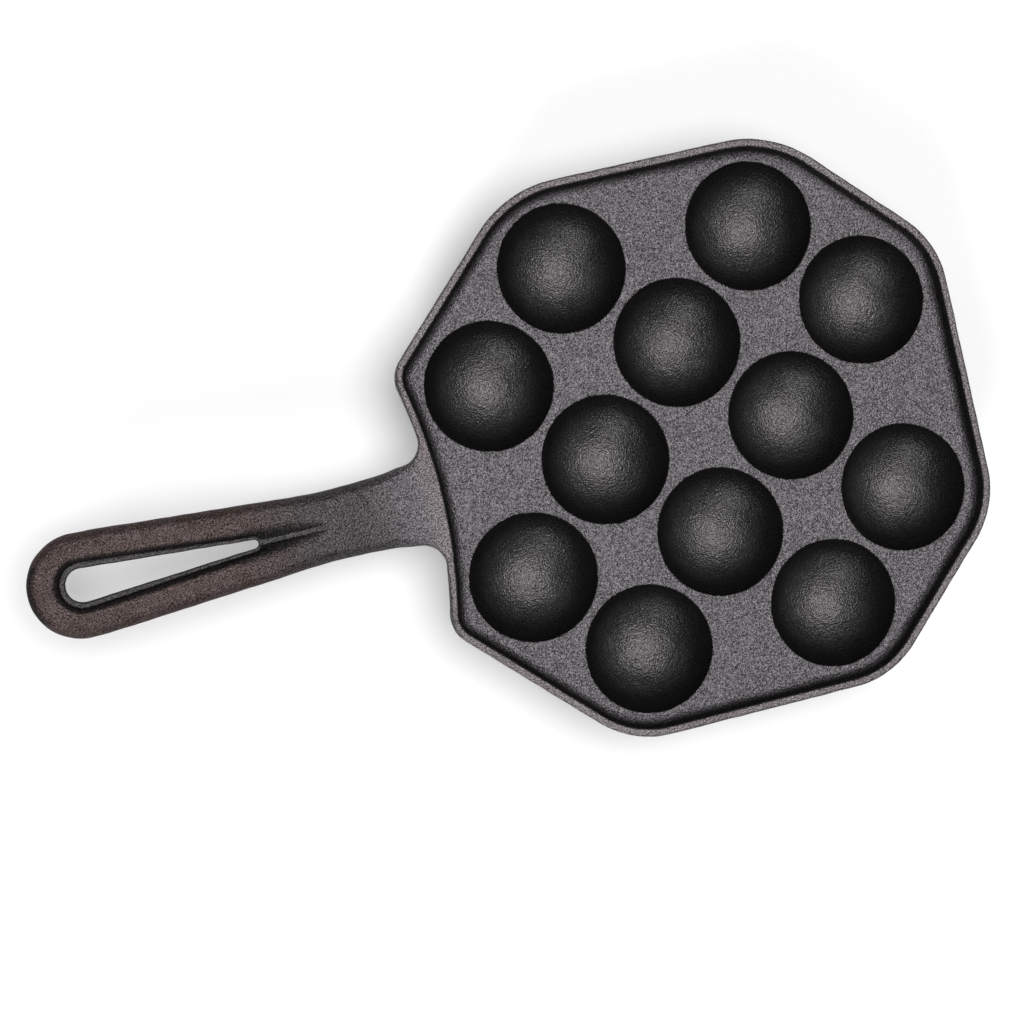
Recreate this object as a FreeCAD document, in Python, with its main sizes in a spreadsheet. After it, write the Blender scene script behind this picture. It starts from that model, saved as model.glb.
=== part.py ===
import FreeCAD, Part
import math
import os

import Sketcher

# One grey-iron casting: an eight-sided griddle pan with twelve half-round cups and a looped handle.
# Millimetres. The sketches are drawn about the middle of the pan: +X points away from the handle,
# +Z is up, and z = 0 is the plane of the twelve ground feet that the pan stands on.

DIMENSIONS = [
    ("cup_mouth", 45.0),  # diameter of a cup where it meets the plate
    ("cup_depth", 20.0),
    ("cup_wall", 3.5),
    ("cup_lip", 0.5),  # edge broken round the mouth of a cup
    ("cup_step", 33.8),  # spacing of the rows, and half the spacing of the cups in a row
    ("foot_grind", 0.3),  # ground off the bottom of each cup, so that the pan stands level
    ("plate_thickness", 4.0),
    ("pan_reach", 97.8),  # middle of the pan to its front, left and right sides
    ("diagonal_reach", 102.9),  # middle of the pan to its four diagonal sides
    ("handle_side_reach", 95.2),  # middle of the pan to the side that carries the handle
    ("handle_side_radius", 188.0),  # that side bows in towards the cups
    ("corner_radius", 34.0),
    ("handle_corner_radius", 11.0),
    ("rim_height", 5.5),  # rim above the plate
    ("rim_width", 2.9),
    ("rim_round", 1.1),
    ("under_round", 2.0),  # lower outer edge of the pan
    ("wall_draft", 5.0),  # degrees, outside of the pan
    ("tray_draft", 15.0),  # degrees, inside of the rim
    ("tray_round", 2.4),  # fillet between rim and plate
    ("handle_thickness", 9.0),
    ("handle_edge", 3.6),  # rounding of the handle's long edges
    ("handle_sink", 0.3),  # top of the handle below the rim where they meet
    ("handle_rise", 6.0),
    ("root_overlap", 1.2),  # how far the handle runs into the rim
    ("root_width", 42.0),
    ("throat_length", 7.7),  # from the rim to where the flare of the root ends
    ("throat_width", 28.7),
    ("shank_length", 16.0),
    ("shank_width", 25.9),
    ("neck_length", 35.3),
    ("neck_width", 24.3),  # narrowest place of the handle
    ("waist_length", 65.0),
    ("waist_width", 27.9),
    ("grip_length", 95.0),
    ("grip_width", 32.3),
    ("end_length", 121.8),
    ("end_width", 35.6),  # widest place, where the round end begins
    ("slot_length", 58.3),  # between the centres of the slot's two round ends
    ("slot_inset", 0.6),  # centre of the slot's wide end in from that of the handle's end
    ("slot_width", 11.2),
    ("slot_tip_width", 2.7),
    ("ledge_width", 1.9),  # ledge around the slot
    ("ledge_thickness", 2.4),
    ("recess_draft", 20.0),  # degrees
    ("valley_length", 24.0),  # the recess runs on past the tip of the slot and fades out
    ("valley_floor", 1.5),
    ("valley_slope", 40.0),  # degrees, each side from upright
]

doc = FreeCAD.newDocument("takoyaki_pan")


def make_sheet():
    sheet = doc.addObject("Spreadsheet::Sheet", "size")
    for row, (alias, value) in enumerate(DIMENSIONS, start=1):
        sheet.set(f"A{row}", alias)
        sheet.set(f"B{row}", str(value))
        sheet.setAlias(f"B{row}", alias)
    doc.recompute()
    return sheet


size = make_sheet()

CUP_RADIUS = "(((size.cup_mouth / 2)^2 + size.cup_depth^2) / (2 * size.cup_depth))"
BUMP_RADIUS = f"({CUP_RADIUS} + size.cup_wall)"
BUMP_CENTRE = f"({BUMP_RADIUS} - size.foot_grind)"
PLATE_TOP = "(size.cup_depth + size.cup_wall - size.foot_grind)"
PLATE_UNDER = f"({PLATE_TOP} - size.plate_thickness)"
RIM_TOP = f"({PLATE_TOP} + size.rim_height)"
ROOT_MIDDLE = f"({RIM_TOP} - size.handle_sink - size.handle_thickness / 2)"
GRIP_MIDDLE = f"({ROOT_MIDDLE} + size.handle_rise)"


def number(expression):
    """The present value of an expression over the sheet."""
    return float(size.evalExpression(expression))


def plane(body, role):
    return next(f for f in body.Origin.OriginFeatures if f.Role == role)


def make_sketch(body, name, role, **offsets):
    """A sketch on one of the body's own planes. x, y and z shift it along its own axes."""
    sketch = body.newObject("Sketcher::SketchObject", name)
    sketch.AttachmentSupport = [(plane(body, role), "")]
    sketch.MapMode = "FlatFace"
    for axis, expression in offsets.items():
        sketch.setExpression(f"AttachmentOffset.Base.{axis}", expression)
    doc.recompute()
    return sketch


def add_feature(body, kind, name, profile=None, **expressions):
    feature = body.newObject(f"PartDesign::{kind}", name)
    feature.Refine = False
    if profile:
        feature.Profile = profile
        profile.Visibility = False
    for prop, expression in expressions.items():
        feature.setExpression(prop, expression)
    return feature


def finish(feature, grows=None):
    """Recomputes, then checks the feature and which way the solid's volume went."""
    doc.recompute()
    if not feature.isValid() or feature.Shape.isNull():
        raise RuntimeError(f"{feature.Name} failed")
    before = feature.BaseFeature.Shape.Volume if feature.BaseFeature else 0.0
    if grows is not None and (feature.Shape.Volume > before) != grows:
        raise RuntimeError(f"{feature.Name} went the wrong way")
    return feature


def vector(x, y, z=0.0):
    return FreeCAD.Vector(x, y, z)


def line(sketch, start, end):
    return sketch.addGeometry(Part.LineSegment(vector(*start), vector(*end)), False)


def arc(sketch, centre, radius, start, end):
    """An arc that runs anticlockwise from one angle to another, in degrees."""
    circle = Part.Circle(vector(*centre), vector(0, 0, 1), radius)
    return sketch.addGeometry(Part.ArcOfCircle(circle, math.radians(start), math.radians(end)), False)


def fix(sketch, kind, geometry, point, expression):
    """Holds a point's X or Y at the value of an expression."""
    index = sketch.addConstraint(Sketcher.Constraint(kind, -1, 1, geometry, point, number(expression)))
    sketch.setExpression(f"Constraints[{index}]", expression)


def fix_point(sketch, geometry, point, x, y):
    for kind, axis, expression in (("DistanceX", -2, x), ("DistanceY", -1, y)):
        if expression:
            fix(sketch, kind, geometry, point, expression)
        else:
            sketch.addConstraint(Sketcher.Constraint("PointOnObject", geometry, point, axis))


def fix_radius(sketch, geometry, expression):
    index = sketch.addConstraint(Sketcher.Constraint("Radius", geometry, number(expression)))
    sketch.setExpression(f"Constraints[{index}]", expression)


def relate(sketch, kind, *ends):
    sketch.addConstraint(Sketcher.Constraint(kind, *ends))


def join_ring(sketch, kind, ids):
    """Joins the end of each curve to the start of the next one, all the way round."""
    for one, following in zip(ids, ids[1:] + ids[:1]):
        relate(sketch, kind, one, 2, following, 1)


def level_edge(shape, height, point):
    """Name of the edge that lies wholly at one height and passes nearest to a point."""
    target = Part.Vertex(vector(*point, height))
    level = [
        (edge.distToShape(target)[0], f"Edge{index}")
        for index, edge in enumerate(shape.Edges, start=1)
        if abs(edge.BoundBox.ZMin - height) < 1e-4 and abs(edge.BoundBox.ZMax - height) < 1e-4
    ]
    return min(level)[1]


def add_fillet(body, name, edges, radius):
    base = body.Tip
    fillet = body.newObject("PartDesign::Fillet", name)
    fillet.Refine = False
    fillet.Base = (base, edges)
    fillet.setExpression("Radius", radius)
    return finish(fillet)


def pan_outline(sketch, inset):
    """Eight sides without their corners: seven straight ones and a bowed one towards the handle."""
    side = f"(size.pan_reach - {inset})"
    end = f"(sqrt(2) * (size.diagonal_reach - {inset}) - {side})"
    bow_radius = f"(size.handle_side_radius + {inset})"
    bow_centre = "(size.handle_side_reach + size.handle_side_radius)"
    a, b, radius, centre = (number(e) for e in (side, end, bow_radius, bow_centre))
    # Where the bowed side meets the diagonals: x = -t and y = a + b - t on a circle about -centre.
    lean = a + b + centre
    t = (lean - math.sqrt(lean**2 - 2 * (centre**2 + (a + b) ** 2 - radius**2))) / 2
    corners = [(a, -b), (a, b), (b, a), (-b, a), (-t, a + b - t), (-t, t - a - b), (-b, -a), (b, -a)]
    angle = math.degrees(math.asin((a + b - t) / radius))
    sides = []
    for index, corner in enumerate(corners):
        if index == 4:
            sides.append(arc(sketch, (-centre, 0), radius, -angle, angle))
        else:
            sides.append(line(sketch, corner, corners[(index + 1) % 8]))
    bow = sides[4]
    relate(sketch, "Coincident", sides[3], 2, bow, 2)
    relate(sketch, "Coincident", bow, 1, sides[5], 1)
    for one, following in ((0, 1), (1, 2), (2, 3), (5, 6), (6, 7), (7, 0)):
        relate(sketch, "Coincident", sides[one], 2, sides[following], 1)
    fixed = {0: (side, f"-{end}"), 1: (side, end), 2: (end, side), 3: (f"-{end}", side)}
    fixed.update({6: (f"-{end}", f"-{side}"), 7: (end, f"-{side}")})
    for index, (x, y) in fixed.items():
        fix_point(sketch, sides[index], 1, x, y)
    relate(sketch, "Parallel", sides[3], sides[7])
    relate(sketch, "Parallel", sides[5], sides[1])
    fix_point(sketch, bow, 3, f"-{bow_centre}", None)
    fix_radius(sketch, bow, bow_radius)


def leaning_corners(shape, height, reach, beside_handle):
    """Names of the corner edges of a drafted wall that start at a height, within a distance."""
    found = []
    for index, edge in enumerate(shape.Edges, start=1):
        heights = [vertex.Point.z for vertex in edge.Vertexes]
        foot = edge.Vertexes[heights.index(min(heights))].Point
        if abs(foot.z - height) > 1e-4 or max(heights) - foot.z < 1:
            continue
        if (foot.x < -1.5 * abs(foot.y)) == beside_handle and abs(foot.y) < reach:
            found.append(f"Edge{index}")
    return found


def make_pan(body):
    """The plate with its rim, before the cups."""
    outline = make_sketch(body, "PanOutline", "XY_Plane", z=RIM_TOP)
    pan_outline(outline, "0")
    blank = add_feature(body, "Pad", "PanBlank", outline, Length="size.rim_height + size.plate_thickness")
    blank.Reversed = True
    blank.setExpression("TaperAngle", "-size.wall_draft")
    finish(blank, True)
    inside = make_sketch(body, "TrayOutline", "XY_Plane", z=RIM_TOP)
    pan_outline(inside, "size.rim_width")
    tray = add_feature(body, "Pocket", "Tray", inside, Length="size.rim_height")
    tray.setExpression("TaperAngle", "-size.tray_draft")
    finish(tray, False)
    under, floor = number(PLATE_UNDER), number(PLATE_TOP)
    reach = number("size.pan_reach")
    for name, height, inset in (("Outer", under, "0"), ("Inner", floor, "size.rim_width")):
        for side, radius in (("", "size.corner_radius"), ("Handle", "size.handle_corner_radius")):
            edges = leaning_corners(body.Tip.Shape, height, reach, side == "Handle")
            add_fillet(body, f"{name}{side}Corners", edges, f"{radius} - {inset}")


def round_rim(body):
    """Rounds the rim's two edges, its foot inside and the pan's lower edge."""
    under, floor, top = (number(e) for e in (PLATE_UNDER, PLATE_TOP, RIM_TOP))
    reach = number("size.pan_reach")
    inner = reach - number("size.rim_width")
    for name, height, x, radius in (
        ("RimOuterRound", top, reach, "size.rim_round"),
        ("RimInnerRound", top, inner, "size.rim_round"),
        ("TrayFoot", floor, inner, "size.tray_round"),
        ("UnderRound", under, reach, "size.under_round"),
    ):
        add_fillet(body, name, [level_edge(body.Tip.Shape, height, (x, 0))], radius)


def add_pattern(body, name, feature, columns, rows):
    """Copies a cup across the rows and columns of its grid."""
    pattern = body.newObject("PartDesign::LinearPattern", name)
    pattern.Refine = False
    pattern.Originals = [feature]
    pattern.Direction = (plane(body, "X_Axis"), [""])
    pattern.Direction2 = (plane(body, "Y_Axis"), [""])
    for suffix, copies in (("", columns), ("2", rows)):
        setattr(pattern, f"Occurrences{suffix}", copies)
        pattern.setExpression(f"Length{suffix}", f"2 * size.cup_step * {copies - 1}")
    body.Tip = pattern
    return finish(pattern)


def ball_profile(sketch, radius, centre, low, high, flare=None):
    """Half of a ball between two heights, to be turned about the sketch's upright axis.

    Above it the profile may spread at 45 degrees through one more height.
    """
    r, c, z0, z1 = (number(e) for e in (radius, centre, low, high))
    x0, x1 = (math.sqrt(max(r**2 - (z - c) ** 2, 0)) for z in (z0, z1))
    start, end = (math.degrees(math.atan2(z - c, x)) for z, x in ((z0, x0), (z1, x1)))
    ball = arc(sketch, (0, c), r, start, end)
    fix_point(sketch, ball, 3, None, centre)
    fix_radius(sketch, ball, radius)
    fix(sketch, "DistanceY", ball, 2, high)
    last = ball
    x, z = x1, z1
    if flare:
        x, z = x1 + number(flare), z1 + number(flare)
        last = line(sketch, (x1, z1), (x, z))
        relate(sketch, "Coincident", ball, 2, last, 1)
        relate(sketch, "Angle", last, math.radians(45))
        fix(sketch, "DistanceY", last, 2, f"{high} + {flare}")
    top = line(sketch, (x, z), (0, z))
    axis = line(sketch, (0, z), (0, z0))
    relate(sketch, "Coincident", last, 2, top, 1)
    relate(sketch, "Coincident", top, 2, axis, 1)
    relate(sketch, "PointOnObject", axis, 1, -2)
    relate(sketch, "Horizontal", top)
    if x0 > 1e-6:
        foot = line(sketch, (0, z0), (x0, z0))
        relate(sketch, "Coincident", axis, 2, foot, 1)
        relate(sketch, "Coincident", foot, 2, ball, 1)
        fix_point(sketch, foot, 1, None, low)
        relate(sketch, "Horizontal", foot)
    else:
        relate(sketch, "Coincident", axis, 2, ball, 1)
        relate(sketch, "PointOnObject", ball, 1, -2)


def make_balls(body, name, kind, *profile_sizes):
    """One ball in each of the two interlaced grids that make up the chequered rows of cups."""
    for grid, columns, rows in (("Even", 3, 2), ("Odd", 2, 3)):
        shift = {"x": f"-size.cup_step * {columns - 1}", "z": f"size.cup_step * {rows - 1}"}
        profile = make_sketch(body, f"{name}Profile{grid}", "XZ_Plane", **shift)
        ball_profile(profile, *profile_sizes)
        ball = add_feature(body, kind, f"{name}{grid}", profile)
        ball.ReferenceAxis = (profile, ["V_Axis"])
        ball.Angle = 360
        finish(ball, kind == "Revolution")
        add_pattern(body, f"{name}Grid{grid}", ball, columns, rows)


def make_cups(body):
    """Twelve half-round bumps under the plate, each hollowed into a cup and ground flat below."""
    plate_middle = f"({PLATE_TOP} - size.plate_thickness / 2)"
    make_balls(body, "Bump", "Revolution", BUMP_RADIUS, BUMP_CENTRE, "0", plate_middle)
    cup_bottom = f"({PLATE_TOP} - size.cup_depth)"
    cup_centre = f"({cup_bottom} + {CUP_RADIUS})"
    lip_foot = f"({PLATE_TOP} - size.cup_lip)"
    make_balls(body, "Cup", "Groove", CUP_RADIUS, cup_centre, cup_bottom, lip_foot, "(2 * size.cup_lip)")


def oval(sketch, half_width, middle, half=False):
    """A flat bar's section with crowned faces and round edges, or its right-hand half."""
    thick, r = "size.handle_thickness", "size.handle_edge"
    offset = f"({half_width} - {r})"
    crown = f"(({offset}^2 + {thick}^2 / 4 - {r}^2) / ({thick} - 2 * {r}))"
    x, z, edge, bow, t = (number(e) for e in (offset, middle, r, crown, thick))
    turn = math.degrees(math.atan2(bow - t / 2, x))
    high, low = z + t / 2 - bow, z - t / 2 + bow
    right = arc(sketch, (x, z), edge, -turn, turn)
    if half:
        top = arc(sketch, (0, high), bow, turn, 90)
        axis = line(sketch, (0, high + bow), (0, low - bow))
        bottom = arc(sketch, (0, low), bow, 270, 360 - turn)
        relate(sketch, "Coincident", top, 2, axis, 1)
        relate(sketch, "Coincident", axis, 2, bottom, 1)
        relate(sketch, "PointOnObject", top, 2, -2)
        relate(sketch, "PointOnObject", bottom, 1, -2)
        relate(sketch, "PointOnObject", top, 3, -2)
        relate(sketch, "PointOnObject", bottom, 3, -2)
        relate(sketch, "Tangent", bottom, 2, right, 1)
        relate(sketch, "Tangent", right, 2, top, 1)
    else:
        top = arc(sketch, (0, high), bow, turn, 180 - turn)
        left = arc(sketch, (-x, z), edge, 180 - turn, 180 + turn)
        bottom = arc(sketch, (0, low), bow, 180 + turn, 360 - turn)
        join_ring(sketch, "Tangent", [right, top, left, bottom])
        fix_point(sketch, left, 3, f"-{offset}", middle)
        relate(sketch, "Equal", right, left)
        relate(sketch, "Equal", top, bottom)
        fix_radius(sketch, top, crown)
    fix_point(sketch, right, 3, offset, middle)
    fix_radius(sketch, right, r)


STATIONS = [
    # name, distance from the rim, width, share of the rise
    ("root", "-size.root_overlap", 0.0),
    ("throat", "size.throat_length", 0.0),
    ("shank", "size.shank_length", 0.06),
    ("neck", "size.neck_length", 0.5),
    ("waist", "size.waist_length", 1.0),
    ("grip", "size.grip_length", 1.0),
    ("end", "size.end_length", 1.0),
]


def make_handle(body):
    """A crowned bar that widens to a round end and rises in one soft bend."""
    sections = []
    for name, distance, share in STATIONS:
        back = f"-(size.handle_side_reach + {distance})"
        section = make_sketch(body, f"{name.title()}Section", "YZ_Plane", z=back)
        oval(section, f"(size.{name}_width / 2)", f"({ROOT_MIDDLE} + {share} * size.handle_rise)")
        sections.append(section)
    doc.recompute()
    bar = add_feature(body, "AdditiveLoft", "HandleBar", sections[0])
    bar.Sections = sections[1:]
    finish(bar, True)
    last = make_sketch(body, "EndProfile", "YZ_Plane", z=f"-(size.handle_side_reach + size.end_length)")
    oval(last, "(size.end_width / 2)", f"({ROOT_MIDDLE} + size.handle_rise)", half=True)
    doc.recompute()
    end = add_feature(body, "Revolution", "HandleEnd", last)
    end.ReferenceAxis = (last, ["V_Axis"])
    end.Angle = 180
    finish(end, True)


def teardrop(sketch, widening):
    """The slot's outline: a wide round end and a narrow one, joined by two tangent lines."""
    wide = f"(size.slot_width / 2 + {widening})"
    tip = f"(size.slot_tip_width / 2 + {widening})"
    back = "(size.handle_side_reach + size.end_length - size.slot_inset)"
    front = f"({back} - size.slot_length)"
    r1, r2, x1, x2 = (number(e) for e in (wide, tip, back, front))
    lean = math.asin((r1 - r2) / (x1 - x2))
    turn = 90 - math.degrees(lean)
    ends = [(x * -1 + r * math.sin(lean), r * math.cos(lean)) for x, r in ((x1, r1), (x2, r2))]
    big = arc(sketch, (-x1, 0), r1, turn, 360 - turn)
    low = line(sketch, (ends[0][0], -ends[0][1]), (ends[1][0], -ends[1][1]))
    small = arc(sketch, (-x2, 0), r2, -turn, turn)
    high = line(sketch, ends[1], ends[0])
    join_ring(sketch, "Tangent", [big, low, small, high])
    fix_point(sketch, big, 3, f"-{back}", None)
    fix_point(sketch, small, 3, f"-{front}", None)
    fix_radius(sketch, big, wide)
    fix_radius(sketch, small, tip)


def make_slot(body):
    """The slot through the grip, with a ledge around it on the middle plane of the casting."""
    above = f"({GRIP_MIDDLE} + size.ledge_thickness / 2)"
    below = f"({GRIP_MIDDLE} - size.ledge_thickness / 2)"
    for name, height, upwards in (("RecessAbove", above, True), ("RecessBelow", below, False)):
        outline = make_sketch(body, f"{name}Outline", "XY_Plane", z=height)
        teardrop(outline, "size.ledge_width")
        recess = add_feature(body, "Pocket", name, outline, Length="size.handle_thickness")
        recess.Reversed = upwards
        recess.setExpression("TaperAngle", "size.recess_draft")
        finish(recess, False)
    outline = make_sketch(body, "SlotOutline", "XY_Plane", z=f"({GRIP_MIDDLE} + size.handle_thickness)")
    teardrop(outline, "0")
    slot = add_feature(body, "Pocket", "Slot", outline, Length="2 * size.handle_thickness")
    finish(slot, False)


def valley_section(sketch, floor):
    """A trough's section: a narrow flat floor between two walls that lean outwards."""
    foot = "size.valley_floor / 2"
    spread = "(size.valley_floor / 2 + size.handle_thickness * tan(size.valley_slope))"
    brim = f"({floor} + size.handle_thickness)"
    places = [(f"-{foot}", floor), (foot, floor), (spread, brim), (f"-{spread}", brim)]
    corners = [(number(x), number(z)) for x, z in places]
    sides = [line(sketch, corners[i], corners[(i + 1) % 4]) for i in range(4)]
    join_ring(sketch, "Coincident", sides)
    for side, (x, z) in zip(sides, places):
        fix_point(sketch, side, 1, x, z)


def make_valley(body):
    """The recess runs on towards the pan as a narrowing valley and fades out."""
    tip = "(size.handle_side_reach + size.end_length - size.slot_inset - size.slot_length)"
    above = f"({GRIP_MIDDLE} + size.ledge_thickness / 2)"
    depth = "((size.handle_thickness - size.ledge_thickness) / 2)"
    sections = []
    for name, share, rise in (("Deep", 0.0, 0.0), ("Half", 0.55, 0.12), ("Shallow", 1.0, 1.0)):
        section = make_sketch(body, f"Valley{name}", "YZ_Plane", z=f"-({tip} - {share} * size.valley_length)")
        valley_section(section, f"({above} + {rise} * {depth})")
        sections.append(section)
    doc.recompute()
    valley = add_feature(body, "SubtractiveLoft", "Valley", sections[0])
    valley.Sections = sections[1:]
    finish(valley, False)


def check(body):
    for item in doc.Objects:
        if "Invalid" in item.State or "Error" in item.State:
            raise RuntimeError(f"{item.Name} is not sound")
    if body.Shape.isNull() or not body.Shape.isValid() or len(body.Shape.Solids) != 1:
        raise RuntimeError(f"{body.Label} is not one sound solid")


casting = doc.addObject("PartDesign::Body", "pan_casting")
casting.Label = "pan_casting"
make_pan(casting)
make_cups(casting)
round_rim(casting)
make_handle(casting)
make_slot(casting)
make_valley(casting)
# The origin goes under the middle of the whole casting, handle included.
handle_reach = "(size.handle_side_reach + size.end_length + size.end_width / 2)"
casting.setExpression("Placement.Base.x", f"({handle_reach} - size.pan_reach) / 2")
doc.recompute()
check(casting)
os.makedirs("parts", exist_ok=True)
casting.Shape.exportStep("parts/pan_casting.step")
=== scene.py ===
import bpy
import math
import numpy as np
from mathutils import Matrix, Vector


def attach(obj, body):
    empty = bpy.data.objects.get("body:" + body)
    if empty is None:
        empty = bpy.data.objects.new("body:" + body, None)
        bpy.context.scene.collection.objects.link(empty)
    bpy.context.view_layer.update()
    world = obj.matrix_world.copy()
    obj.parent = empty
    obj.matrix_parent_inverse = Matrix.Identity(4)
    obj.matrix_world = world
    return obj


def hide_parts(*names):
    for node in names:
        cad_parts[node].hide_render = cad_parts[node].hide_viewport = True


# A cast-iron pan with twelve half-round cups and a looped handle. Metres, +Z up, +X from the
# handle to the pan, the origin under the middle of the whole casting.

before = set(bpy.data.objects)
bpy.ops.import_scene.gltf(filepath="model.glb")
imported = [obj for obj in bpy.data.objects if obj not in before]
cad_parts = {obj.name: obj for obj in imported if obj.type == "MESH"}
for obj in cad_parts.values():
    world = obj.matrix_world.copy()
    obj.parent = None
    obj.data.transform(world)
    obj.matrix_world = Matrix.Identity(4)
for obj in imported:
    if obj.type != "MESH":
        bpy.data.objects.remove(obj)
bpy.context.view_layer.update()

# Plan of the pan
PAN_X = 0.0685  # middle of the pan
CUP_STEP = 0.0338
SIDE_REACH = 0.0978
DIAGONAL_REACH = 0.1029
BOW_REACH = 0.0952  # the side with the handle bows in
BOW_RADIUS = 0.188
CORNER = 0.034
SOFT_CORNER = 0.042  # the corners on the left, seen from the handle
CORNER_BLEND = 0.01  # each side of the middle, where one radius turns into the other
BOW_CORNER = 0.011
BOW_COSINE = 0.52  # between the bowed side's normal and its neighbour's, where they meet

# Heights
PLATE_TOP = 0.0232
PLATE_UNDER = 0.0192
RIM_TOP = 0.0287
RIM_WIDTH = 0.0029
RIM_ROUND_OUT = 0.0010
RIM_ROUND_IN = 0.0006
TRAY_FILLET = 0.0026
WALL_DRAFT = math.tan(math.radians(5))
TRAY_DRAFT = math.tan(math.radians(15))
UNDER_ROUND = 0.002

# Cups
CUP_RADIUS = 0.02235
CUP_CENTRE_Z = PLATE_TOP + 0.002656
CUP_LIP = 0.0004
BUMP_RADIUS = 0.026156
BUMP_FILLET = 0.003
FAR = 1.0  # stands for no cup at all

# Handle: distance from the middle of the pan, half width, share of the rise
STATIONS = np.array([
    (0.0700, 0.01460, 0.00),
    (0.0952, 0.01450, 0.00),
    (0.1029, 0.01420, 0.00),
    (0.1112, 0.01300, 0.06),
    (0.1305, 0.01215, 0.50),
    (0.1602, 0.01395, 1.00),
    (0.1902, 0.01615, 1.00),
    (0.2170, 0.01780, 1.00),
    (0.2400, 0.01780, 1.00),
])
END_X = 0.2170
END_RADIUS = 0.0178
THICKNESS = 0.009
HANDLE_EDGE = 0.0036
HANDLE_SINK = 0.0003
RISE = 0.006
CROWN = 0.0012
CROWN_LIMIT = 1.2  # of the half width, past which the crown falls no further
ROOT_FILLET = 0.008
HANDLE_START = 0.07  # inside the pan
HANDLE_LEAN = 0.995  # a distance across the handle to one square to its sides
HANDLE_BLEND = (0.0955, 0.1085)  # where the pan's section turns into the handle's

# Slot, measured back from the middle of the pan
SLOT_FAR = 0.2163
SLOT_NEAR = 0.1581
SLOT_R_FAR = 0.0056
SLOT_R_NEAR = 0.00135
LEDGE_NEAR = 0.0014
LEDGE_FAR = 0.0022
LEDGE_HALF = 0.0012
RECESS_DRAFT = math.tan(math.radians(14))
RECESS_START = 0.125
RECESS_FOOT = 0.0006  # rounding between a recess and its ledge
RECESS_LIP = 0.0018
SLOT_LIP = 0.0005
VALLEY_END = 0.1335
VALLEY_LENGTH = 0.0195
VALLEY_DEPTH = 0.0036
VALLEY_FLOOR = 0.00075
VALLEY_SLOPE = 1.35
VALLEY_LEAN = 0.725  # a level distance to one square to the valley's sides
VALLEY_FADE = 0.55  # power by which it deepens towards the slot
VALLEY_OVERLAP = 0.004  # how far it runs on over the slot
VALLEY_FILLET = 0.0008

# Grinding and casting take off up to twice this, in waves of a direction and a phase
UNEVEN = 0.00010
WAVES = [
    ((410.0, 260.0, 190.0), 0.3), ((-300.0, 520.0, 150.0), 1.7), ((620.0, -240.0, 330.0), 4.1),
    ((150.0, 690.0, -420.0), 2.6), ((-830.0, -310.0, 240.0), 5.2),
]

# Mesh
FINE_STEP = 0.00125  # along the handle and across its slot
COARSE_STEP = 0.0018
LAYER_STEP = 0.0013
SHARP_TURN = 16  # degrees from one point's normal to the next
SHORTEST_EDGES = (0.0007, 0.0006)  # left whole in the first and second refining
FIELD_STEP = 2e-5  # for the field's gradient
LEAST_SLOPE = 0.2  # least squared gradient that a step is divided by
LONGEST_MOVE = 8e-4

# Where the finishes and the slot's painted shade fade in, measured back from the middle of the
# pan
HANDLE_TONE = (0.100, 0.124)
GRIP_TONE = (0.130, 0.165)
SLOT_TONE = (0.126, 0.134)
SLOT_TONE_HALF = 0.0095
RIM_TONE_END = (0.0945, 0.102)


def round_both(a, b, r):
    """Solid common to two fields, its edge rounded to a radius."""
    corner = np.hypot(np.maximum(a + r, 0), np.maximum(b + r, 0))
    return np.minimum(np.maximum(a, b), -r) + corner


def round_either(a, b, r):
    """Solid in one field or the other, their joint filleted to a radius."""
    return -round_both(-a, -b, r)


def wedge(a, b, cosine, r):
    """Two straight sides whose normals meet at an angle, the corner rounded to a radius."""
    a, b = a + r, b + r
    sine2 = 1 - cosine * cosine
    corner = np.sqrt(np.maximum(a * a + b * b - 2 * a * b * cosine, 0) / sine2)
    inside = (a - b * cosine > 0) & (b - a * cosine > 0)
    return np.where(inside, corner, np.maximum(a, b)) - r


def smooth(value, low, high):
    """0 below the low bound, 1 above the high one, and a soft step between."""
    t = np.clip((value - low) / (high - low), 0, 1)
    return t * t * (3 - 2 * t)


def pan_plan(x, y):
    """Distance from the pan's outline at the rim, negative inside."""
    cos_45 = math.sqrt(0.5)
    corner = CORNER + (SOFT_CORNER - CORNER) * smooth(y, -CORNER_BLEND, CORNER_BLEND)
    y = np.abs(y)
    front, side = x - SIDE_REACH, y - SIDE_REACH
    front_diagonal = (x + y) * cos_45 - DIAGONAL_REACH
    back_diagonal = (y - x) * cos_45 - DIAGONAL_REACH
    bow = BOW_RADIUS - np.hypot(x + BOW_REACH + BOW_RADIUS, y)
    return np.maximum.reduce([
        wedge(front, front_diagonal, cos_45, CORNER),
        wedge(front_diagonal, side, cos_45, corner),
        wedge(side, back_diagonal, cos_45, corner),
        wedge(back_diagonal, bow, BOW_COSINE, BOW_CORNER),
    ])


def spline(values, back):
    """A smooth curve through the stations, its slopes chosen so that it never overshoots."""
    t, v = STATIONS[:, 0], values
    secant = np.diff(v) / np.diff(t)
    slope = np.zeros_like(v)
    same = secant[1:] * secant[:-1] > 0
    both = np.where(same, secant[1:] + secant[:-1], 1)
    slope[1:-1] = np.where(same, 2 * secant[1:] * secant[:-1] / both, 0)
    back = np.clip(back, t[0], t[-1])
    i = np.clip(np.searchsorted(t, back) - 1, 0, len(t) - 2)
    h = t[i + 1] - t[i]
    s = (back - t[i]) / h
    return (v[i] * (1 + 2 * s) * (1 - s) ** 2 + slope[i] * h * s * (1 - s) ** 2
            + v[i + 1] * s * s * (3 - 2 * s) + slope[i + 1] * h * s * s * (s - 1))


def handle_plan(x, y):
    """Distance from the handle's outline, and its half width."""
    back = -x
    width = spline(STATIONS[:, 1], back)
    along = np.maximum((np.abs(y) - width) * HANDLE_LEAN, HANDLE_START - back)
    end = np.hypot(back - END_X, y) - END_RADIUS
    return np.where(back > END_X, end, along), width


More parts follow.
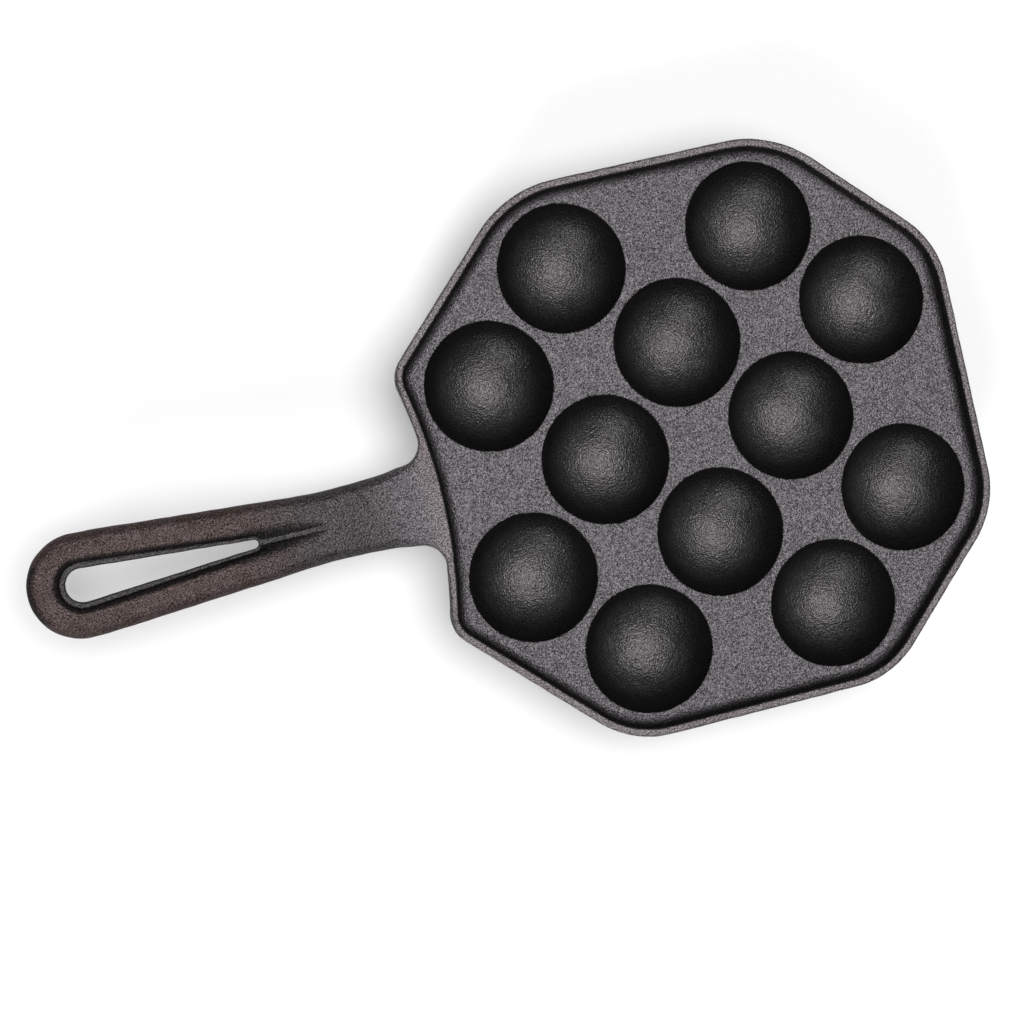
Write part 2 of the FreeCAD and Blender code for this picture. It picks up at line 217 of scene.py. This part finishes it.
def slot_plan(x, y):
    """Distance from the tapered slot's outline."""
    back, y = -x, np.abs(y)
    length = SLOT_FAR - SLOT_NEAR
    taper = (SLOT_R_FAR - SLOT_R_NEAR) / length
    lean = math.sqrt(1 - taper * taper)
    u = back - SLOT_NEAR
    # How far along the straight side the nearest point lies
    k = (u * lean + y * taper) / lean
    near = np.hypot(u, y) - SLOT_R_NEAR
    far = np.hypot(u - length, y) - SLOT_R_FAR
    straight = y * lean - u * taper - SLOT_R_NEAR
    return np.where(k < 0, near, np.where(k > length, far, straight))


def cup_distances(x, y, z):
    """Distances to the nearest two centres of the chequered cups."""
    i = np.clip(np.round(x / CUP_STEP), -3, 3)
    j = np.clip(np.round(y / CUP_STEP), -3, 3)
    near, second = np.full(len(x), FAR), np.full(len(x), FAR)
    for di in (-1, 0, 1):
        for dj in (-1, 0, 1):
            ci, cj = i + di, j + dj
            real = ((ci + cj) % 2 == 1) & (np.abs(ci) <= 2) & (np.abs(cj) <= 2)
            across = (x - ci * CUP_STEP) ** 2 + (y - cj * CUP_STEP) ** 2
            d = np.where(real, np.sqrt(across + (z - CUP_CENTRE_Z) ** 2), FAR)
            second = np.minimum(second, np.maximum(near, d))
            near = np.minimum(near, d)
    return near, second


def casting(p):
    """The whole casting as one field of distances, negative inside the iron."""
    x, y, z = p[:, 0] - PAN_X, p[:, 1], p[:, 2]
    pan = pan_plan(x, y)
    handle, width = handle_plan(x, y)
    plan = round_either(pan, handle, ROOT_FILLET)
    # 0 in the pan, 1 in the handle
    t = smooth(-x, *HANDLE_BLEND)
    rise = RISE * spline(STATIONS[:, 2], -x)
    crown = CROWN * t * np.minimum(np.abs(y) / width, CROWN_LIMIT) ** 2
    high = RIM_TOP - HANDLE_SINK * t + rise - crown
    handle_under = RIM_TOP - HANDLE_SINK - THICKNESS + rise
    low = (PLATE_UNDER * (1 - t) + handle_under * t) + crown
    under = np.where(t > 0, low, PLATE_UNDER) - z
    # The bumps under the cups, which run into one another
    near, second = cup_distances(x, y, z)
    bumps = round_either(near - BUMP_RADIUS, second - BUMP_RADIUS, BUMP_FILLET)
    under = round_either(under, bumps, BUMP_FILLET)
    wall = plan + (RIM_TOP - z) * WALL_DRAFT * (1 - t)
    solid = round_both(wall, under, UNDER_ROUND + (HANDLE_EDGE - UNDER_ROUND) * t)
    solid = round_both(solid, z - high, RIM_ROUND_OUT + (HANDLE_EDGE - RIM_ROUND_OUT) * t)
    # The tray and the cups
    inner = pan + RIM_WIDTH + (RIM_TOP - z) * TRAY_DRAFT
    tray = round_both(inner, PLATE_TOP - z, TRAY_FILLET)
    solid = round_both(solid, -tray, RIM_ROUND_IN)
    solid = round_both(solid, CUP_RADIUS - near, CUP_LIP)
    # The slot, its two recesses and the valley
    middle = RIM_TOP - HANDLE_SINK - THICKNESS / 2 + RISE
    slot = slot_plan(x, y)
    ledge = LEDGE_NEAR + (LEDGE_FAR - LEDGE_NEAR) * smooth(-x, SLOT_NEAR, SLOT_FAR)
    for side in (1, -1):
        height = (z - middle) * side - LEDGE_HALF
        recess = round_both(slot - ledge - height * RECESS_DRAFT, -height, RECESS_FOOT)
        if side == 1:
            u = np.clip((-x - VALLEY_END) / VALLEY_LENGTH, 0, 1)
            floor = RIM_TOP - HANDLE_SINK + rise - VALLEY_DEPTH * u ** VALLEY_FADE
            floor = np.maximum(floor, middle + LEDGE_HALF)
            floor = np.where(-x < VALLEY_END, RIM_TOP + RISE, floor)
            half = VALLEY_FLOOR + (z - floor) * VALLEY_SLOPE
            groove = np.abs(y) * VALLEY_LEAN - half * VALLEY_LEAN
            groove = np.maximum(groove, floor - z)
            groove = np.maximum(groove, -x - SLOT_NEAR - VALLEY_OVERLAP)
            recess = round_either(recess, groove, VALLEY_FILLET)
        solid = np.where(-x > RECESS_START, round_both(solid, -recess, RECESS_LIP), solid)
    solid = round_both(solid, -slot, SLOT_LIP)
    # Hand-ground and sand-cast: nothing is quite straight
    wave = sum(np.sin(p @ np.array(k) + f) for k, f in WAVES) / len(WAVES)
    return np.maximum(solid + UNEVEN * (1 + wave), -z)


def steepness(p):
    """The field's gradient."""
    g = np.empty_like(p)
    for axis in range(3):
        step = np.zeros(3)
        step[axis] = FIELD_STEP
        g[:, axis] = (casting(p + step) - casting(p - step)) / (2 * FIELD_STEP)
    return g


def settle(p, passes=3):
    """Moves points onto the surface."""
    for _ in range(passes):
        g = steepness(p)
        d = casting(p) / np.maximum((g * g).sum(1), LEAST_SLOPE)
        p = p - g * np.clip(d, -LONGEST_MOVE, LONGEST_MOVE)[:, None]
    return p


def normals(p):
    """Unit vectors out of the iron."""
    g = steepness(p)
    return g / np.maximum(np.linalg.norm(g, axis=1), 1e-9)[:, None]


def skin():
    """Surface nets over the field: one vertex in each cell that the surface crosses."""
    axes = [
        np.concatenate([
            np.arange(-0.1695, -0.046, FINE_STEP),
            np.arange(-0.046, 0.171, COARSE_STEP),
        ]),
        np.concatenate([
            np.arange(-0.1008, -0.02, COARSE_STEP),
            np.arange(-16, 17) * FINE_STEP,
            np.arange(0.0216, 0.102, COARSE_STEP),
        ]),
        np.arange(-0.00125, 0.037, LAYER_STEP),
    ]
    shape = [len(a) for a in axes]
    grid = np.stack(np.meshgrid(*axes, indexing="ij"), -1)
    f = casting(grid.reshape(-1, 3)).reshape(shape)
    cells = [n - 1 for n in shape]
    total, count = np.zeros(cells + [3]), np.zeros(cells)
    crossings = []
    for axis in range(3):
        a = np.moveaxis(f, axis, 0)[:-1]
        b = np.moveaxis(f, axis, 0)[1:]
        crossing = (a < 0) != (b < 0)
        t = np.where(crossing, a / np.where(crossing, a - b, 1), 0)[..., None]
        pa, pb = np.moveaxis(grid, axis, 0)[:-1], np.moveaxis(grid, axis, 0)[1:]
        where = np.where(crossing[..., None], pa * (1 - t) + pb * t, 0)
        for u in (slice(None, -1), slice(1, None)):
            for v in (slice(None, -1), slice(1, None)):
                total += np.moveaxis(where[:, u, v], 0, axis)
                count += np.moveaxis(crossing[:, u, v], 0, axis)
        crossings.append((np.moveaxis(crossing, 0, axis), np.moveaxis(a < 0, 0, axis)))
    used = count > 0
    number = np.full(cells, -1)
    number[used] = np.arange(used.sum())
    points = total[used] / count[used][:, None]
    quads = []
    for axis, (crossing, starts_inside) in enumerate(crossings):
        at = np.argwhere(crossing)
        u, v = (axis + 1) % 3, (axis + 2) % 3
        corners = []
        for du, dv in ((1, 1), (0, 1), (0, 0), (1, 0)):
            cell = at.copy()
            cell[:, u] -= du
            cell[:, v] -= dv
            corners.append(number[tuple(cell.T)])
        quad = np.stack(corners, 1)
        outward = starts_inside[tuple(at.T)]
        quads.append(np.where(outward[:, None], quad, quad[:, ::-1]))
    quads = np.concatenate(quads)
    points = settle(points, 4)
    # Evens out the cells, then puts the points back on the surface
    for _ in range(2):
        total, count = np.zeros_like(points), np.zeros(len(points))
        for k in range(4):
            a, b = quads[:, k], quads[:, (k + 1) % 4]
            for s, t in ((a, b), (b, a)):
                for c in range(3):
                    total[:, c] += np.bincount(s, points[t, c], len(points))
                count += np.bincount(s, minlength=len(points))
        mean = total / np.maximum(count, 1)[:, None]
        points = settle(points + (mean - points) * 0.5, 3)
    d1 = np.linalg.norm(points[quads[:, 0]] - points[quads[:, 2]], axis=1)
    d2 = np.linalg.norm(points[quads[:, 1]] - points[quads[:, 3]], axis=1)
    first = (d1 <= d2)[:, None]
    faces = np.concatenate([
        np.where(first, quads[:, [0, 1, 2]], quads[:, [0, 1, 3]]),
        np.where(first, quads[:, [0, 2, 3]], quads[:, [1, 2, 3]]),
    ])
    return points, faces


def refine(points, faces, angle, shortest):
    """Divides the edges that turn by more than an angle, so that lips and rounds stay crisp."""
    n = normals(points)
    sides = np.concatenate([faces[:, [0, 1]], faces[:, [1, 2]], faces[:, [2, 0]]])
    sides = np.sort(sides, axis=1)
    edges, back = np.unique(sides, axis=0, return_inverse=True)
    back = back.reshape(-1)
    turn = (n[edges[:, 0]] * n[edges[:, 1]]).sum(1)
    long = np.linalg.norm(points[edges[:, 0]] - points[edges[:, 1]], axis=1)
    cut = (turn < math.cos(math.radians(angle))) & (long > shortest)
    middle = np.full(len(edges), -1)
    middle[cut] = len(points) + np.arange(cut.sum())
    fresh = settle(points[edges[cut]].mean(1), 3)
    points = np.concatenate([points, fresh])
    m = middle[back].reshape(3, -1).T
    split = (m >= 0).sum(1)
    out = [faces[split == 0]]
    for k in range(3):
        a, b, c = faces[:, k], faces[:, (k + 1) % 3], faces[:, (k + 2) % 3]
        ab, bc, ca = m[:, k], m[:, (k + 1) % 3], m[:, (k + 2) % 3]
        one = (split == 1) & (ab >= 0)
        out += [np.stack([a, ab, c], 1)[one], np.stack([ab, b, c], 1)[one]]
        two = (split == 2) & (ca < 0)
        for corners in ([ab, b, bc], [a, ab, bc], [a, bc, c]):
            out.append(np.stack(corners, 1)[two])
        three = split == 3
        out.append(np.stack([a, ab, ca], 1)[three])
    out.append(m[split == 3])
    return points, np.concatenate(out)


def finish_and_shade_masks(points, n):
    """Where the finishes and the painted shade lie: in the cups, along the handle, on the rim, in
    the slot and at the rim's foot.
    """
    x, y, z = points[:, 0] - PAN_X, points[:, 1], points[:, 2]
    near = cup_distances(x, y, z)[0]
    up = n[:, 2]
    # Below the handle's top
    depth = RIM_TOP - HANDLE_SINK + RISE * spline(STATIONS[:, 2], -x) - z
    inside = pan_plan(x, y) < -RIM_WIDTH
    slot = smooth(-x, *SLOT_TONE) * (np.abs(y) < SLOT_TONE_HALF) * smooth(up, -0.4, 0.0)
    in_cup = 1 - smooth(near, CUP_RADIUS + 0.0003, CUP_RADIUS + 0.0007)
    on_rim = smooth(z, PLATE_TOP + 0.0015, RIM_TOP - 0.0006)
    # Painted shade inside the slot below the handle's top, and at the foot of the rim's inner
    # wall
    slot_painted_shade = slot * smooth(depth, 0.0002, 0.0011) * (1 - 0.8 * smooth(up, 0.9, 0.99))
    rim_foot_painted_shade = (1 - smooth(up, 0.35, 0.85)) * smooth(z, PLATE_TOP, PLATE_TOP + 0.0004) * inside
    return {
        "cup": in_cup * (z < PLATE_TOP - 0.0003),
        # Painted shade on the cup walls, strongest near the lip
        "cup_wall": smooth(z, PLATE_TOP - 0.0185, PLATE_TOP - 0.0085),
        "handle": smooth(-x, *HANDLE_TONE),
        "rim": on_rim * (1 - smooth(-x, *RIM_TONE_END)),
        "grip": smooth(-x, *GRIP_TONE) * (1 - slot * smooth(depth, 0.0012, 0.0026)),
        # Painted shade in the slot and at the rim's foot
        "recess": slot_painted_shade + rim_foot_painted_shade,
        "under": smooth(-up, -0.1, 0.5),
    }


def build_casting():
    """The casting as one mesh, with its normals and the masks of its finishes and its painted
    shade.
    """
    points, faces = skin()
    for shortest in SHORTEST_EDGES:
        points, faces = refine(points, faces, SHARP_TURN, shortest)
    mesh = bpy.data.meshes.new("iron_casting")
    mesh.vertices.add(len(points))
    mesh.vertices.foreach_set("co", points.ravel())
    mesh.loops.add(faces.size)
    mesh.loops.foreach_set("vertex_index", faces.ravel().astype(np.int32))
    mesh.polygons.add(len(faces))
    mesh.polygons.foreach_set("loop_start", np.arange(len(faces), dtype=np.int32) * 3)
    mesh.polygons.foreach_set("loop_total", np.full(len(faces), 3, dtype=np.int32))
    mesh.update(calc_edges=True)
    mesh.validate()
    mesh.shade_smooth()
    n = normals(points)
    mesh.normals_split_custom_set_from_vertices([tuple(v) for v in n])
    for name, values in finish_and_shade_masks(points, n).items():
        mask = mesh.attributes.new(name, "FLOAT", "POINT")
        mask.data.foreach_set("value", values.astype(np.float32))
    piece = bpy.data.objects.new("iron_casting", mesh)
    bpy.context.collection.objects.link(piece)
    return piece


casting_piece = build_casting()
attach(casting_piece, "root")
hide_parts("pan_casting")


# Finish

class Nodes:
    """Short calls for building a node tree."""

    def __init__(self, tree):
        self.tree = tree
        tree.nodes.clear()

    def add(self, kind, inputs=None, **settings):
        node = self.tree.nodes.new("ShaderNode" + kind)
        for key, value in settings.items():
            setattr(node, key, value)
        for key, value in (inputs or {}).items():
            self.put(node.inputs[key], value)
        return node

    def put(self, socket, value):
        if isinstance(value, bpy.types.NodeSocket):
            self.tree.links.new(value, socket)
        else:
            socket.default_value = value

    def mix(self, factor, a, b, blend="MIX"):
        node = self.tree.nodes.new("ShaderNodeMix")
        node.data_type = "RGBA"
        node.blend_type = blend
        # The sockets of the colour type
        for index, value in ((0, factor), (6, a), (7, b)):
            self.put(node.inputs[index], value)
        return node.outputs[2]

    def math(self, operation, a, b=0.0):
        node = self.tree.nodes.new("ShaderNodeMath")
        node.operation = operation
        self.put(node.inputs[0], a)
        self.put(node.inputs[1], b)
        return node.outputs[0]

    def noise(self, where, scale, detail=3.0, rough=0.55):
        node = self.add("TexNoise", {"Vector": where, "Scale": scale, "Detail": detail,
                                     "Roughness": rough})
        return node.outputs["Fac"]

    def spread(self, value, low, high, to_low=0.0, to_high=1.0):
        return self.add("MapRange", {"Value": value, "From Min": low, "From Max": high,
                                     "To Min": to_low, "To Max": to_high}).outputs["Result"]

    def mask(self, name):
        return self.add("Attribute", attribute_name=name).outputs["Fac"]


def grey(value, r=0.0, g=0.0, b=0.0):
    """A grey with a small share more or less of each colour."""
    return (value * (1 + r), value * (1 + g), value * (1 + b), 1)


def iron_material():
    material = bpy.data.materials.new("cast_iron")
    material.use_nodes = True
    n = Nodes(material.node_tree)
    where = n.add("TexCoord").outputs["Object"]
    broad = n.noise(where, 30, 3)
    blotch = n.noise(where, 120, 4, 0.6)
    grain = n.noise(where, 1600, 1.5, 0.5)
    sand = n.noise(where, 700, 2, 0.5)
    # Ground plate, browner rim, dark handle, and cups whose walls darken towards the lip as
    # painted shade
    plate = n.mix(n.spread(blotch, 0.32, 0.70),
                  grey(0.088, 0.03, -0.05, 0.02), grey(0.104, 0.02, -0.04, 0.03))
    brown = n.mix(n.spread(broad, 0.35, 0.65),
                  grey(0.118, 0.08, -0.06, -0.03), grey(0.138, 0.05, -0.04, 0.01))
    colour = n.mix(n.mask("rim"), plate, brown)
    dark = n.mix(n.spread(blotch, 0.35, 0.65),
                 grey(0.050, 0.05, -0.03, -0.01), grey(0.064, 0.05, -0.03, 0.0))
    rust = n.mix(n.spread(blotch, 0.35, 0.65),
                 grey(0.043, 0.28, -0.09, -0.14), grey(0.062, 0.22, -0.08, -0.10))
    dark = n.mix(n.mask("grip"), dark, rust)
    colour = n.mix(n.mask("handle"), colour, dark)
    colour = n.mix(n.mask("under"), colour, grey(0.085, 0.03, -0.02, 0.0))
    cup_tone_and_shade = n.mix(n.spread(blotch, 0.3, 0.7),
                  grey(0.086, 0.03, -0.02, 0.02), grey(0.102, 0.03, -0.02, 0.02))
    # Painted shade: the cup's walls darken towards the lip
    cup_tone_and_shade = n.mix(n.mask("cup_wall"), cup_tone_and_shade, grey(0.036))
    colour = n.mix(n.mask("cup"), colour, cup_tone_and_shade)
    # Painted shade in the slot's recesses and valley and at the foot of the rim's inner wall
    colour = n.mix(n.math("MULTIPLY", n.mask("recess"), 0.75), colour, grey(0.014))
    # Pores and bright grains of the sand casting
    speck = n.noise(where, 2100, 1.5, 0.5)
    share = n.spread(n.mask("cup"), 0, 1, 1, 0.6)
    colour = n.mix(share, colour, n.spread(speck, 0.34, 0.66, 0.28, 1.85), "MULTIPLY")
    roughness = n.spread(blotch, 0.3, 0.7, 0.40, 0.50)
    roughness = n.math("SUBTRACT", roughness, n.math("MULTIPLY", n.mask("cup"), 0.06))
    height = n.math("ADD", n.math("MULTIPLY", grain, 0.6), n.math("MULTIPLY", sand, 0.4))
    fine = n.add("Bump", {"Strength": 1.0, "Distance": 0.00058, "Height": height})
    swell = n.noise(where, 95, 2)
    coarse = n.add("Bump", {"Strength": 0.5, "Distance": 0.0006, "Height": swell,
                            "Normal": fine.outputs["Normal"]})
    shader = n.add("BsdfPrincipled", {
        "Base Color": colour, "Metallic": 0.85, "Roughness": roughness,
        "Specular Tint": (0.5, 0.5, 0.5, 1), "Normal": coarse.outputs["Normal"],
    })
    n.put(n.add("OutputMaterial").inputs["Surface"], shader.outputs["BSDF"])
    return material


casting_piece.data.materials.append(iron_material())


# Floor, light, camera

FLOOR_REACH = 40.0
FLOOR_Z = -0.0002  # just clear of the feet
FLOOR_GLOW = 0.12  # lifts the floor to white where it is seen
AMBIENT = 0.08


def floor_material():
    material = bpy.data.materials.new("pale_floor")
    material.use_nodes = True
    n = Nodes(material.node_tree)
    path = n.add("LightPath")
    glossy, through = path.outputs["Is Glossy Ray"], path.outputs["Is Transmission Ray"]
    reflected = n.math("MAXIMUM", glossy, through)
    seen = n.math("MAXIMUM", path.outputs["Is Camera Ray"], reflected)
    matte = n.add("BsdfDiffuse", {"Color": (0.90, 0.90, 0.90, 1)})
    strength = n.math("MULTIPLY", seen, FLOOR_GLOW)
    glow = n.add("Emission", {"Color": (1, 1, 1, 1), "Strength": strength})
    both = n.add("AddShader")
    n.put(both.inputs[0], matte.outputs[0])
    n.put(both.inputs[1], glow.outputs[0])
    # Clear from below, so that the underside can be looked at
    floor = n.add("MixShader", {"Fac": n.add("NewGeometry").outputs["Backfacing"]})
    n.put(floor.inputs[1], both.outputs[0])
    n.put(floor.inputs[2], n.add("BsdfTransparent").outputs[0])
    n.put(n.add("OutputMaterial").inputs["Surface"], floor.outputs[0])
    return material


def build_floor():
    mesh = bpy.data.meshes.new("floor")
    r, z = FLOOR_REACH, FLOOR_Z
    corners = [(-r, -r, z), (r, -r, z), (r, r, z), (-r, r, z)]
    mesh.from_pydata(corners, [], [(0, 1, 2, 3)])
    floor = bpy.data.objects.new("floor", mesh)
    bpy.context.collection.objects.link(floor)
    floor.data.materials.append(floor_material())


def soft_light(name, towards, width, radiance):
    """A far, round softbox: its direction, how wide it looks in degrees, and how bright it is."""
    light = bpy.data.lights.new(name, "SUN")
    light.angle = math.radians(width)
    light.energy = radiance * math.pi * math.sin(light.angle / 2) ** 2
    lamp = bpy.data.objects.new(name, light)
    lamp.rotation_euler = Vector(towards).to_track_quat("Z", "Y").to_euler()
    lamp.visible_camera = False
    bpy.context.collection.objects.link(lamp)


def build_light():
    world = bpy.data.worlds.new("studio")
    world.use_nodes = True
    n = Nodes(world.node_tree)
    background = n.add("Background", {"Color": (1, 1, 1, 1), "Strength": AMBIENT})
    n.put(n.add("OutputWorld").inputs["Surface"], background.outputs[0])
    bpy.context.scene.world = world
    soft_light("overhead", (0.10, 0.04, 1), 58, 3.6)
    soft_light("front_left", (-0.472, -0.716, 0.45), 20, 12.0)
    soft_light("back_left", (-0.60, 0.62, 0.50), 24, 1.0)


def build_camera():
    camera = bpy.data.cameras.new("camera")
    camera.lens = 75
    camera.sensor_width = 36
    camera.clip_start = 0.01
    thing = bpy.data.objects.new("camera", camera)
    right = Vector((0.96522667, -0.22743829, 0.12887709))
    up = Vector((0.23212705, 0.97242731, -0.02240906))
    back = Vector((-0.12022692, 0.05154568, 0.99140735))
    turn = Matrix((right, up, back)).transposed().to_4x4()
    thing.matrix_world = Matrix.Translation((-0.08965, 0.02777, 0.75139)) @ turn
    bpy.context.collection.objects.link(thing)
    bpy.context.scene.camera = thing


build_floor()
build_light()
build_camera()
bpy.context.scene.view_settings.view_transform = "Standard"
